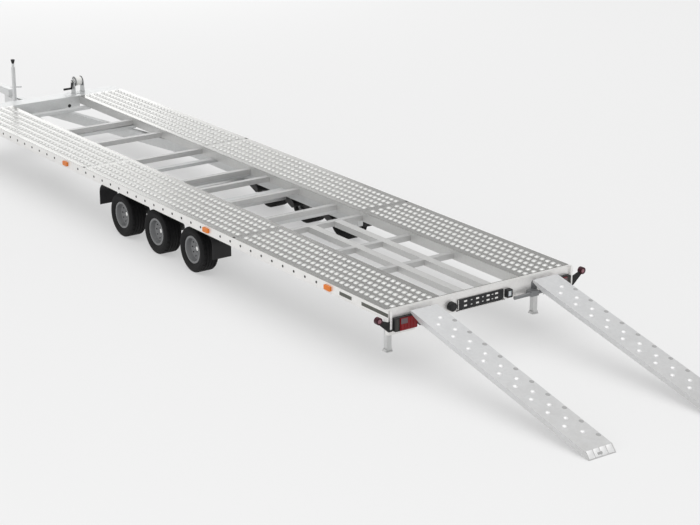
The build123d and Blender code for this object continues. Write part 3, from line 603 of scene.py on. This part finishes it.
# Wheel nuts, hub caps and the openings of the wheel discs, the openings as dark discs of painted shade
wheelTrim = {
    "nuts": 5, "nutCircle": 0.050, "nutAlong": 0.013, "nutFirst": 0.3,
    "nut": {"radius": 0.0095, "count": 6,
            "steps": ((-0.001, 1.25), (0.003, 1.2), (0.0035, 1), (0.011, 1), (0.013, 0.8), (0.017, 0.35))},
    "vents": 10, "ventCircle": 0.088, "ventAlong": 0.0240, "slope": math.radians(25.5),
    "vent": {"radius": 0.0070, "count": 14, "steps": ((-0.001, 1.15), (0.0008, 1.1), (0.0011, 1))},
    "cap": [(0.012, 0.032), (0.0145, 0.031), (0.016, 0.0255), (0.024, 0.0249), (0.029, 0.0215), (0.030, 0.0155)],
    "capCount": 28,
}


def around(count, radius, along, first=0.0):
    # Angles and places of a ring of pieces about the wheel's own axis
    angles = [2 * math.pi * index / count + first for index in range(count)]
    return angles, [(radius * math.cos(angle), radius * math.sin(angle), along) for angle in angles]


def wheelDetails():
    nut = shaped(wheelTrim["nut"])
    vent = shaped(wheelTrim["vent"])
    cap = turned(wheelTrim["cap"], wheelTrim["capCount"])
    angles, places = around(wheelTrim["nuts"], wheelTrim["nutCircle"], wheelTrim["nutAlong"], wheelTrim["nutFirst"])
    nutRing = joinCopies(nut, places, "nut_ring", "polished")
    angles, places = around(wheelTrim["vents"], wheelTrim["ventCircle"], wheelTrim["ventAlong"])
    slopes = [(0, -wheelTrim["slope"], angle) for angle in angles]
    ventRing = joinCopies(vent, places, "vent_ring", "darkHole", turns=slopes)
    for name, turn in wheels:
        places = [centre(name + "_tyre")]
        joinCopies(nutRing, places, name + "_nuts", "wheelNut", body=name, turns=turn)
        joinCopies(ventRing, places, name + "_openings", "darkHole", body=name, turns=turn)
        joinCopies(cap, places, name + "_cap", "polished", body=name, turns=turn)
    discard(nut, vent, cap, nutRing, ventRing)


wheelDetails()
print("wheel details made")


# Side rails: row of holes as dark discs of painted shade that leaves the amber markers clear, dark strips of painted
# shade at the rear, folded lip
railTrim = {
    "pitch": 0.1833, "first": 1.10, "last": 8.45, "markers": (0.910, 3.005, 5.960, 8.350), "clear": 0.10,
    "hole": {"radius": 0.013, "count": 12, "steps": ((-0.001, 1), (0.0008, 1), (0.0010, 0.8), (0.0002, 0.7))},
    "strips": ((0.006, 0.397), (0.549, 0.733)), "stripTall": 0.034, "stripProud": 0.0025, "stripBevel": 0.002,
    "lipTall": 0.007, "lipProud": 0.003, "lipSpare": 0.05, "lipBevel": 0.0015,
}


def railDetails():
    railMiddle = centre("side_rail_left").z
    lipMiddle = low("side_rail_left").z + railTrim["lipTall"] / 2
    hole = shaped(railTrim["hole"])
    markers = [deckRear + place for place in railTrim["markers"]]
    for name, side in sides.items():
        places = []
        place = deckRear + railTrim["first"]
        while place < deckRear + railTrim["last"]:
            if all(abs(place - marker) > railTrim["clear"] for marker in markers):
                places.append((place, side * deckSide, railMiddle))
            place += railTrim["pitch"]
        joinCopies(hole, places, "rail_holes_" + name, "darkHole", turns=faceOut[name])
        for index, (start, end) in enumerate(railTrim["strips"]):
            strip = block((end - start, 2 * railTrim["stripProud"], railTrim["stripTall"]), railTrim["stripBevel"],
                          (deckRear + (start + end) / 2, side * deckSide, railMiddle))
            settle(strip, "rail_strip_%s_%d" % (name, index), "gripStrip")
        lip = block((deckFront - deckRear - railTrim["lipSpare"], 2 * railTrim["lipProud"], railTrim["lipTall"]),
                    railTrim["lipBevel"], ((deckRear + deckFront) / 2, side * deckSide, lipMiddle))
        settle(lip, "rail_lip_" + name, "rail")
    discard(hole)


railDetails()
print("rail details made")


# Ramps: pressed studs and drain holes in rows of (across, first, count), and the toothed foot.
# toothAt and slotAt are shares of the foot's bevel and of its depth
rampTrim = {
    "pitch": math.radians(12.498), "axisAlong": 0.060, "axisUp": 0.445, "above": 0.114, "length": 2.345, "step": 0.2111,
    "studs": ((-0.030, 0.155, 10), (0.058, 0.243, 9)), "holes": ((-0.119, 0.243, 10),),
    "stud": {"radius": 0.022, "rise": 0.009, "sunk": 0.0005, "count": 14,
             "steps": ((0.5, 0.84), (0.88, 0.52), (1, 0.2))},
    "hole": {"radius": 0.019, "count": 16, "steps": ((-0.001, 1.2), (0.0012, 1.1), (0.0014, 1), (0.0002, 0.85))},
    "bevel": 0.066, "depth": 0.050, "teeth": (-0.1025, -0.034, 0.034, 0.1025), "toothLong": 0.86, "toothWide": 0.060,
    "toothTall": 0.006, "toothBevel": 0.002, "toothAt": (0.55, 0.45),
    "slot": (0.022, 0.052, 0.0085), "slotAcross": 0.012, "slotBevel": 0.003, "slotAt": (0.42, 0.58),
}


def rampPoint(axisPlace, along, across, above):
    pitch = rampTrim["pitch"]
    down = Vector((-math.cos(pitch), 0, -math.sin(pitch)))
    up = Vector((-math.sin(pitch), 0, math.cos(pitch)))
    return Vector(axisPlace) + down * along + up * above + Vector((0, across, 0))


def rampRows(axisPlace, rows):
    return [rampPoint(axisPlace, first + index * rampTrim["step"], across, rampTrim["above"])
            for across, first, count in rows for index in range(count)]


def footPoint(axisPlace, across, shares):
    along = rampTrim["length"] - rampTrim["bevel"] * shares[0]
    return rampPoint(axisPlace, along, across, rampTrim["above"] - rampTrim["depth"] * shares[1])


def rampDetails():
    stud = dome(rampTrim["stud"])
    hole = shaped(rampTrim["hole"])
    tilt = (0, -rampTrim["pitch"], 0)
    footTilt = (0, -rampTrim["pitch"] - math.atan2(rampTrim["depth"], rampTrim["bevel"]), 0)
    toothLong = math.hypot(rampTrim["depth"], rampTrim["bevel"]) * rampTrim["toothLong"]
    for name in sides:
        body = "ramp_" + name
        axisPlace = (deckRear - rampTrim["axisAlong"], centre(body).y, rampTrim["axisUp"])
        places = rampRows(axisPlace, rampTrim["studs"])
        # Studs lighter than the ramp sheet they are pressed from: painted highlight
        joinCopies(stud, places, "ramp_studs_" + name, "rampStud", body=body, turns=tilt)
        places = rampRows(axisPlace, rampTrim["holes"])
        joinCopies(hole, places, "ramp_holes_" + name, "shadowHole", body=body, turns=tilt)
        tooth = block((toothLong, rampTrim["toothWide"], rampTrim["toothTall"]), rampTrim["toothBevel"])
        places = [footPoint(axisPlace, across, rampTrim["toothAt"]) for across in rampTrim["teeth"]]
        joinCopies(tooth, places, "ramp_teeth_" + name, "rampStud", body=body, turns=footTilt)
        slot = block(rampTrim["slot"], rampTrim["slotBevel"])
        places = [footPoint(axisPlace, rampTrim["slotAcross"], rampTrim["slotAt"])]
        joinCopies(slot, places, "ramp_slot_" + name, "shadowHole", body=body, turns=footTilt)
        discard(tooth, slot)
    discard(stud, hole)


rampDetails()
print("ramp details made")


# Rear lamps with their pale panel, ribs and bars, marker clamps, and a dark line of painted shade across the deck's top
# at its rear edge.
# clearTall, clearDown, ribTall and barTall are shares of the lens's height
lampTrim = {
    "clearThick": 0.006, "clearWide": 0.072, "clearTall": 0.44, "clearDown": 0.24, "clearInset": 0.003,
    "clearSunk": 0.001, "clearBevel": 0.003,
    "ribs": 4, "ribWide": 0.0035, "ribTall": 0.92, "ribSunk": 0.0012, "ribBevel": 0.001, "lensInner": 0.77,
    "ribFirst": 0.045, "ribSpare": 0.055,
    "barThick": 0.0035, "barWide": 0.0045, "barTall": 0.95, "bars": (0.968, 0.983, 0.998),
    "clamp": (0.004, 0.024, 0.170), "clampInset": 0.004, "clampSunk": 0.002, "clampBevel": 0.0015,
    # The groove sizes below are for the dark line of painted shade behind the rear crossmember's top strip
    "grooveWide": 0.007, "grooveTall": 0.0012, "grooveAlong": 0.0435, "grooveSpare": 0.02, "grooveBevel": 0.0004,
}


def lampDetails():
    lens = "rear_lamp_lenses"
    lensBack = low(lens).x
    lensTop = high(lens).z
    lensTall = lensTop - low(lens).z
    lensMiddle = centre(lens).z
    lensOuter = high(lens).y
    ribSpan = lensOuter - lampTrim["lensInner"] - lampTrim["ribSpare"]
    clampWide, clampTall = lampTrim["clamp"][1:]
    clampBack = low("marker_arms").x - lampTrim["clampSunk"]
    clampMiddle = deckTop - clampTall / 2 - lampTrim["clampSunk"]
    for name, side in sides.items():
        across = side * (lensOuter - lampTrim["clearWide"] / 2 - lampTrim["clearInset"])
        clear = block((lampTrim["clearThick"], lampTrim["clearWide"], lensTall * lampTrim["clearTall"]),
                      lampTrim["clearBevel"],
                      (lensBack - lampTrim["clearSunk"], across, lensTop - lensTall * lampTrim["clearDown"]))
        settle(clear, "lamp_clear_" + name, "smokeLens")
        rib = block((lampTrim["ribWide"], lampTrim["ribWide"], lensTall * lampTrim["ribTall"]), lampTrim["ribBevel"])
        places = []
        for index in range(lampTrim["ribs"] + 1):
            across = lampTrim["lensInner"] + lampTrim["ribFirst"] + ribSpan * index / lampTrim["ribs"]
            places.append((lensBack - lampTrim["ribSunk"], side * across, lensMiddle))
        joinCopies(rib, places, "lamp_ribs_" + name, "redLens")
        bar = block((lampTrim["barThick"], lampTrim["barWide"], lensTall * lampTrim["barTall"]), lampTrim["ribBevel"])
        places = [(low("rear_lamp_housings").x, side * across, lensMiddle) for across in lampTrim["bars"]]
        joinCopies(bar, places, "lamp_bars_" + name, "gripStrip")
        across = side * (deckSide - lampTrim["clampInset"] - clampWide / 2)
        clamp = block(lampTrim["clamp"], lampTrim["clampBevel"], (clampBack, across, clampMiddle))
        settle(clamp, "marker_clamp_" + name, "rail")
        discard(rib, bar)
    # Dark line painted where shade falls behind the rear crossmember's top strip
    groove = block((lampTrim["grooveWide"], 2 * deckSide - lampTrim["grooveSpare"], lampTrim["grooveTall"]),
                   lampTrim["grooveBevel"], (deckRear + lampTrim["grooveAlong"], 0, deckTop))
    settle(groove, "rear_groove", "gripStrip")


lampDetails()

# Plate holder: two sizes of slots, and light strips of painted highlight on its edges and on the lip below
plateTrim = {
    "middle": 0.030, "foot": 0.446, "rows": (-0.020, 0.022), "slotBevel": 0.0009,
    "slot": (0.002, 0.034, 0.016), "columns": (0.2095, 0.073, -0.048, -0.1455),
    "smallSlot": (0.002, 0.018, 0.008), "smallColumns": (0.141, 0.012, -0.098),
    "thick": 0.004, "edgeWide": 0.005, "edgeAcross": 0.2595, "lipLong": 0.54, "lipTall": 0.005, "lipUp": 0.4355,
    "edgeBevel": 0.001,
}


def plateDetails():
    back = low("plate_holder").x
    top = high("plate_holder").z
    middle = (top + plateTrim["foot"]) / 2
    for size, columns, name, look in (("slot", "columns", "plate_slots", "rail"),
                                      ("smallSlot", "smallColumns", "plate_small_slots", "galvanised")):
        slot = block(plateTrim[size], plateTrim["slotBevel"])
        places = [(back, across, middle + row) for across in plateTrim[columns] for row in plateTrim["rows"]]
        joinCopies(slot, places, name, look)
        discard(slot)
    edge = block((plateTrim["thick"], plateTrim["edgeWide"], top - plateTrim["foot"]), plateTrim["edgeBevel"])
    places = [(back, plateTrim["middle"] + side * plateTrim["edgeAcross"], middle) for side in sides.values()]
    joinCopies(edge, places, "plate_edges", "rail")
    lip = block((plateTrim["thick"], plateTrim["lipLong"], plateTrim["lipTall"]), plateTrim["edgeBevel"],
                (back, plateTrim["middle"], plateTrim["lipUp"]))
    settle(lip, "plate_lip", "rail")
    discard(edge)


plateDetails()

# Rings and cores of the corner markers, and the face of the round lamp
markerTrim = {
    "ring": [(-0.001, 0.030), (0.003, 0.0295), (0.0035, 0.020), (0.0005, 0.0185)], "ringCount": 28,
    "core": [(-0.001, 0.019), (0.002, 0.0185), (0.004, 0.012), (0.005, 0.005)], "coreCount": 24,
    "inset": 0.033, "up": 0.528,
    "lamp": [(-0.001, 0.040), (0.004, 0.039), (0.005, 0.034), (0.002, 0.032), (0.006, 0.020), (0.007, 0.006)],
    "lampCount": 32, "lampAt": (0.368, 0.497),
}


def markerDetails():
    ring = turned(markerTrim["ring"], markerTrim["ringCount"], ring=True, turn=faceRear)
    core = turned(markerTrim["core"], markerTrim["coreCount"], turn=faceRear)
    across = high("corner_markers").y - markerTrim["inset"]
    places = [(low("corner_markers").x, side * across, markerTrim["up"]) for side in sides.values()]
    joinCopies(ring, places, "marker_rings", "deepLens")
    joinCopies(core, places, "marker_cores", "paleRed")
    lamp = turned(markerTrim["lamp"], markerTrim["lampCount"], turn=faceRear)
    places = [(low("small_rear_lamps").x, *markerTrim["lampAt"])]
    joinCopies(lamp, places, "round_lamp_face", "blackPlastic")
    discard(ring, core, lamp)


markerDetails()
print("rear lamps and plate made")


# Folds of the coupling's bellows
gaiterTrim = {"folds": 7, "high": 0.040, "low": 0.031, "count": 40}


def couplingGaiter():
    start = low("coupling_bellows").x
    step = (high("coupling_bellows").x - start) / (2 * gaiterTrim["folds"])
    profile = [(0, gaiterTrim["low"])]
    for fold in range(gaiterTrim["folds"]):
        profile.append(((2 * fold + 1) * step, gaiterTrim["high"]))
        profile.append(((2 * fold + 2) * step, gaiterTrim["low"]))
    bellows = turned(profile, gaiterTrim["count"], turn=faceFront)
    middle = centre("coupling_bellows")
    piece = joinCopies(bellows, [(start, middle.y, middle.z)], "coupling_gaiter", "blackRubber")
    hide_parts("coupling_bellows")
    discard(bellows)


couplingGaiter()

# Jockey wheel's roller. shoulder and round are how far inside the side and inside the rim a step lies
rollerTrim = {
    "count": 48, "bore": 0.012, "disc": 0.052, "dish": 0.056, "dishDeep": 0.004, "shoulder": (0.004, 0.012),
    "round": (0.010, 0.001), "groove": 0.006, "grooveTop": 0.005, "grooveFoot": 0.0035,
}


def jockeyTyre():
    lowest, highest = low("jockey_roller"), high("jockey_roller")
    half = (highest.y - lowest.y) / 2
    big = (highest.x - lowest.x) / 2
    profile = [(-half, rollerTrim["bore"]), (-half, rollerTrim["disc"]),
               (-half + rollerTrim["dishDeep"], rollerTrim["dish"])]
    profile += [(-half + inside, big - below) for inside, below in (rollerTrim["shoulder"], rollerTrim["round"])]
    profile += [(-rollerTrim["grooveTop"], big), (-rollerTrim["grooveFoot"], big - rollerTrim["groove"])]
    roller = turned(mirrored(profile), rollerTrim["count"], ring=True, turn=faceAcross)
    piece = joinCopies(roller, [centre("jockey_roller")], "jockey_tyre", "blackRubber", body="jockey_roller")
    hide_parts("jockey_roller")
    discard(roller)


jockeyTyre()

# Winch: strap on its drum, the drum's flanges and the nut at its end
winchTrim = {
    "axisDown": 0.036, "strap": [(-0.040, 0.037), (-0.040, 0.0515), (-0.036, 0.054)], "strapCount": 36,
    "flange": [(-0.0025, 0.0365), (-0.0025, 0.060), (-0.0015, 0.062)], "flangeCount": 40, "flangeAcross": 0.0465,
    "nut": [(-0.001, 0.011), (0.008, 0.011), (0.010, 0.009)], "nutCount": 6, "nutSunk": 0.001,
}


def winchDetails():
    middle = centre("winch_frame")
    axis = Vector((middle.x, middle.y, high("winch_frame").z - winchTrim["axisDown"]))
    strap = turned(mirrored(winchTrim["strap"]), winchTrim["strapCount"], ring=True, turn=faceAcross)
    joinCopies(strap, [axis], "winch_strap", "strap")
    flange = turned(mirrored(winchTrim["flange"]), winchTrim["flangeCount"], ring=True, turn=faceAcross)
    places = [axis + Vector((0, side * winchTrim["flangeAcross"], 0)) for side in sides.values()]
    joinCopies(flange, places, "winch_flanges", "tubeSteel")
    nut = turned(winchTrim["nut"], winchTrim["nutCount"], turn=faceAcross)
    places = [(axis.x, low("winch_drum").y + winchTrim["nutSunk"], axis.z)]
    joinCopies(nut, places, "winch_nut", "polished")
    discard(strap, flange, nut)


winchDetails()

# Plug in the front apron, and the knob of the jockey wheel
frontTrim = {
    "plug": [(-0.001, 0.022), (0.003, 0.021), (0.004, 0.017), (0.001, 0.015)], "plugCount": 20,
    "plugBack": 0.220, "plugAt": (-0.312, 0.484),
    "knob": [(0.0, 0.015), (0.006, 0.0165), (0.026, 0.0215), (0.040, 0.0255), (0.047, 0.025), (0.050, 0.0215),
             (0.050, 0.006)],
    "knobCount": 28,
}


def frontDetails():
    plug = turned(frontTrim["plug"], frontTrim["plugCount"], turn=faceRear)
    places = [(deckFront - frontTrim["plugBack"], *frontTrim["plugAt"])]
    joinCopies(plug, places, "front_plug", "blackPlastic")
    knob = turned(frontTrim["knob"], frontTrim["knobCount"])
    middle = centre("jockey_knob")
    places = [(middle.x, middle.y, low("jockey_knob").z)]
    piece = joinCopies(knob, places, "jockey_grip", "blackPlastic")
    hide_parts("jockey_knob")
    discard(plug, knob)


frontDetails()
print("front details made")


# Bolts on the bolsters, in pairs
boltTrim = {
    "radius": 0.011, "count": 6, "steps": ((-0.0005, 1.5), (0.0015, 1.5), (0.0018, 1), (0.007, 1), (0.008, 0.82)),
    "along": (3.000, 3.900, 4.650, 5.350), "across": 0.560, "shift": 0.024,
}


def chassisBolts():
    bolt = shaped(boltTrim)
    top = high("bolsters").z
    places = [(deckRear + along + shift, side * boltTrim["across"], top)
              for along in boltTrim["along"] for side in sides.values()
              for shift in (-boltTrim["shift"], boltTrim["shift"])]
    joinCopies(bolt, places, "bolster_bolts", "galvanised")
    discard(bolt)


chassisBolts()
print("bolts made")


# Floor, sky and lamps. The sky is a row of (height, brightness), where height 1 is straight up
studio = {
    "floorHalf": 60.0, "floorTone": 0.8, "pale": 0.875, "paleShare": 0.5, "skyStrength": 1.4,
    "sky": ((0.0, 0.95), (0.139, 0.95), (0.225, 0.80), (0.309, 0.50), (0.375, 0.40), (0.574, 0.40), (0.707, 0.9),
            (0.866, 1.3)),
    "sunPower": 0.5, "sunSpread": 70.0,
}
lamps = {
    "sideFill": {"place": (-13, 17, 5), "aim": (0, 0, 0.5), "size": (20, 8), "power": 900, "glossy": False},
    "farCard": {"place": (15, -6.5, 3.2), "aim": (3, 0.5, 0.5), "size": (9, 3), "power": 95, "glossy": True},
    "nearSideCard": {"place": (15, -4.8, 5.3), "aim": (2, 0.8, 0.6), "size": (5, 4), "power": 38, "glossy": True},
}


def floorMaterial():
    # Partly glowing where the camera or a reflection sees it, plain for all other light
    material = bpy.data.materials.new("paleFloor")
    material.use_nodes = True
    tree = material.node_tree
    tree.nodes.clear()
    out = tree.nodes.new("ShaderNodeOutputMaterial")
    plain = tree.nodes.new("ShaderNodeBsdfDiffuse")
    plain.inputs["Color"].default_value = (studio["floorTone"], studio["floorTone"], studio["floorTone"], 1)
    glow = tree.nodes.new("ShaderNodeEmission")
    glow.inputs["Color"].default_value = (1, 1, 1, 1)
    glow.inputs["Strength"].default_value = studio["pale"]
    seen = tree.nodes.new("ShaderNodeMixShader")
    path = tree.nodes.new("ShaderNodeLightPath")
    direct = mathNode(tree, "ADD", path.outputs["Is Camera Ray"], path.outputs["Is Glossy Ray"], clamp=True)
    direct = mathNode(tree, "ADD", direct, path.outputs["Is Transmission Ray"], clamp=True)
    choose = tree.nodes.new("ShaderNodeMixShader")
    for node, values in ((seen, (studio["paleShare"], plain.outputs[0], glow.outputs[0])),
                         (choose, (direct, plain.outputs[0], seen.outputs[0]))):
        for index, value in enumerate(values):
            feed(tree, node.inputs[index], value)
    feed(tree, out.inputs[0], choose.outputs[0])
    return material


selectOnly()
bpy.ops.mesh.primitive_plane_add(size=2 * studio["floorHalf"], location=(0, 0, 0))
floor = bpy.context.object
floor.name = "floor"
floor.data.materials.append(floorMaterial())

world = bpy.data.worlds.new("studio")
bpy.context.scene.world = world
world.use_nodes = True
sky = world.node_tree
coords = sky.nodes.new("ShaderNodeTexCoord")
axes = sky.nodes.new("ShaderNodeSeparateXYZ")
feed(sky, axes.inputs[0], coords.outputs["Generated"])
ramp = sky.nodes.new("ShaderNodeValToRGB")
while len(ramp.color_ramp.elements) < len(studio["sky"]):
    ramp.color_ramp.elements.new(0.5)
for element, (place, level) in zip(ramp.color_ramp.elements, studio["sky"]):
    level = level / studio["skyStrength"]
    element.position = place
    element.color = (level, level, level, 1)
feed(sky, ramp.inputs[0], axes.outputs["Z"])
feed(sky, sky.nodes["Background"].inputs["Color"], ramp.outputs[0])
feed(sky, sky.nodes["Background"].inputs["Strength"], studio["skyStrength"])


def addObject(name, data):
    obj = bpy.data.objects.new(name, data)
    bpy.context.collection.objects.link(obj)
    return obj


def pointAlong(obj, heading):
    obj.rotation_euler = heading.to_track_quat("-Z", "Y").to_euler()


def softLamp(name, place, aim, size, power, glossy):
    data = bpy.data.lights.new(name, "AREA")
    data.shape = "RECTANGLE"
    data.size, data.size_y = size
    data.energy = power
    lamp = addObject(name, data)
    lamp.location = place
    pointAlong(lamp, Vector(aim) - Vector(place))
    lamp.visible_camera = False
    lamp.visible_glossy = glossy


for name, size in lamps.items():
    softLamp(name, **size)
overhead = bpy.data.lights.new("overhead", "SUN")
overhead.energy = studio["sunPower"]
overhead.angle = math.radians(studio["sunSpread"])
addObject("overhead", overhead)

# The photograph's camera, with its angles in radians
cameraPlace = {"at": (-16.531, 10.449, 6.353), "yaw": -0.6184, "pitch": -0.3257, "lens": 100.0, "film": 36.0,
               "far": 400}
cameraData = bpy.data.cameras.new("camera")
cameraData.lens = cameraPlace["lens"]
cameraData.sensor_width = cameraPlace["film"]
cameraData.clip_end = cameraPlace["far"]
camera = addObject("camera", cameraData)
camera.location = cameraPlace["at"]
yaw, pitch = cameraPlace["yaw"], cameraPlace["pitch"]
pointAlong(camera, Vector((math.cos(pitch) * math.cos(yaw), math.cos(pitch) * math.sin(yaw), math.sin(pitch))))
bpy.context.scene.camera = camera
bpy.context.scene.view_settings.view_transform = "Standard"
print("camera and light set")
